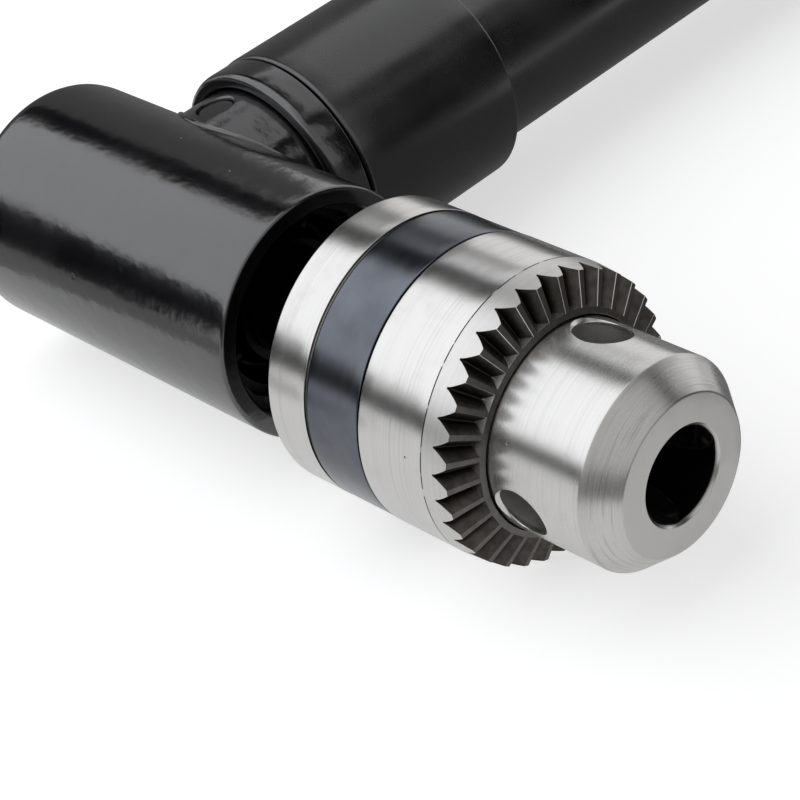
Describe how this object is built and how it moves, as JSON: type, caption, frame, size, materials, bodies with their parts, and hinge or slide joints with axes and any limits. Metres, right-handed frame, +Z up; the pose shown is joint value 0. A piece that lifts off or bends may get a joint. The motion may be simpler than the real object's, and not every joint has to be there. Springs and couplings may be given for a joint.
{
  "type": "right angle drill adapter",
  "caption": "Right angle drill adapter: a straight shank and handle drive a key chuck at ninety degrees through bevel gears.",
  "frame": {"origin": "middle of the footprint on the plane that the chuck rests on, with both axes level", "axes": "+X along the output axis towards the chuck nose, +Y along the arm towards the shank, +Z up"},
  "size_m": [0.1036, 0.205, 0.034],
  "materials": {
    "black_paint": "glossy black paint with slight orange peel",
    "black_grip": "semi-matte black, smooth",
    "chuck_steel": "satin turned steel, with one blue-grey oxide band",
    "plain_steel": "machined steel, lightly oiled",
    "bearing_steel": "ground bearing steel",
    "blackened_steel": "blackened spring steel",
    "bronze": "plain sintered bronze"
  },
  "bodies": {
    "housing": {"head_housing": "black_paint", "neck_set_screw": "blackened_steel", "collar_ring": "black_paint", "handle": "black_grip", "handle_end_bush": "bronze", "neck_bearing_spacer": "plain_steel", "front_circlip": "blackened_steel", "neck_circlip": "blackened_steel", "front_bearing_outer": "bearing_steel", "rear_bearing_outer": "bearing_steel", "neck_bearing_front_outer": "bearing_steel", "neck_bearing_rear_outer": "bearing_steel"},
    "output": {"output_spindle": "plain_steel", "output_bevel_gear": "plain_steel", "gear_pin": "plain_steel", "front_bearing_inner": "bearing_steel", "rear_bearing_inner": "bearing_steel", "chuck_body": "chuck_steel"},
    "drive": {"drive_shaft": "plain_steel", "drive_pinion": "plain_steel", "pinion_pin": "plain_steel", "neck_bearing_front_inner": "bearing_steel", "neck_bearing_rear_inner": "bearing_steel", "shaft_circlip": "blackened_steel"},
    "sleeve": {"chuck_sleeve": "chuck_steel", "chuck_nut_upper": "plain_steel", "chuck_nut_lower": "plain_steel"},
    "jaw_1": {"chuck_jaw_1": "plain_steel"},
    "jaw_2": {"chuck_jaw_2": "plain_steel"},
    "jaw_3": {"chuck_jaw_3": "plain_steel"},
    "front_balls": {"front_bearing_balls": "bearing_steel"},
    "rear_balls": {"rear_bearing_balls": "bearing_steel"},
    "neck_front_balls": {"neck_bearing_front_balls": "bearing_steel"},
    "neck_rear_balls": {"neck_bearing_rear_balls": "bearing_steel"}
  },
  "joints": [
    {"name": "output_spin", "type": "hinge", "parent": "housing", "child": "output", "pos_m": [0, -0.0855, 0.017], "axis": [1, 0, 0], "continuous": true},
    {"name": "drive_spin", "type": "hinge", "parent": "housing", "child": "drive", "pos_m": [-0.0305, 0, 0.017], "axis": [0, 1, 0], "continuous": true},
    {"name": "sleeve_turn", "type": "hinge", "parent": "output", "child": "sleeve", "pos_m": [0, -0.0855, 0.017], "axis": [-1, 0, 0], "range_deg": [0, 4752]},
    {"name": "jaw_1_slide", "type": "slide", "parent": "output", "child": "jaw_1", "axis": [0.9659, 0.1732, -0.1923], "range_m": [0, 0.0198]},
    {"name": "jaw_2_slide", "type": "slide", "parent": "output", "child": "jaw_2", "axis": [0.9659, 0.08, 0.2462], "range_m": [0, 0.0198]},
    {"name": "jaw_3_slide", "type": "slide", "parent": "output", "child": "jaw_3", "axis": [0.9659, -0.2532, -0.0538], "range_m": [0, 0.0198]},
    {"name": "front_balls_turn", "type": "hinge", "parent": "housing", "child": "front_balls", "pos_m": [0, -0.0855, 0.017], "axis": [1, 0, 0], "continuous": true},
    {"name": "rear_balls_turn", "type": "hinge", "parent": "housing", "child": "rear_balls", "pos_m": [0, -0.0855, 0.017], "axis": [1, 0, 0], "continuous": true},
    {"name": "neck_front_balls_turn", "type": "hinge", "parent": "housing", "child": "neck_front_balls", "pos_m": [-0.0305, 0, 0.017], "axis": [0, 1, 0], "continuous": true},
    {"name": "neck_rear_balls_turn", "type": "hinge", "parent": "housing", "child": "neck_rear_balls", "pos_m": [-0.0305, 0, 0.017], "axis": [0, 1, 0], "continuous": true}
  ],
  "couplings": [
    {"joint": "drive_spin", "follows": "output_spin", "ratio": -1},
    {"joint": "front_balls_turn", "follows": "output_spin", "ratio": 0.3678},
    {"joint": "rear_balls_turn", "follows": "output_spin", "ratio": 0.36},
    {"joint": "neck_front_balls_turn", "follows": "output_spin", "ratio": -0.368},
    {"joint": "neck_rear_balls_turn", "follows": "output_spin", "ratio": -0.368},
    {"joint": "jaw_1_slide", "follows": "sleeve_turn", "m_per_rad": 0.00023873},
    {"joint": "jaw_2_slide", "follows": "sleeve_turn", "m_per_rad": 0.00023873},
    {"joint": "jaw_3_slide", "follows": "sleeve_turn", "m_per_rad": 0.00023873}
  ]
}
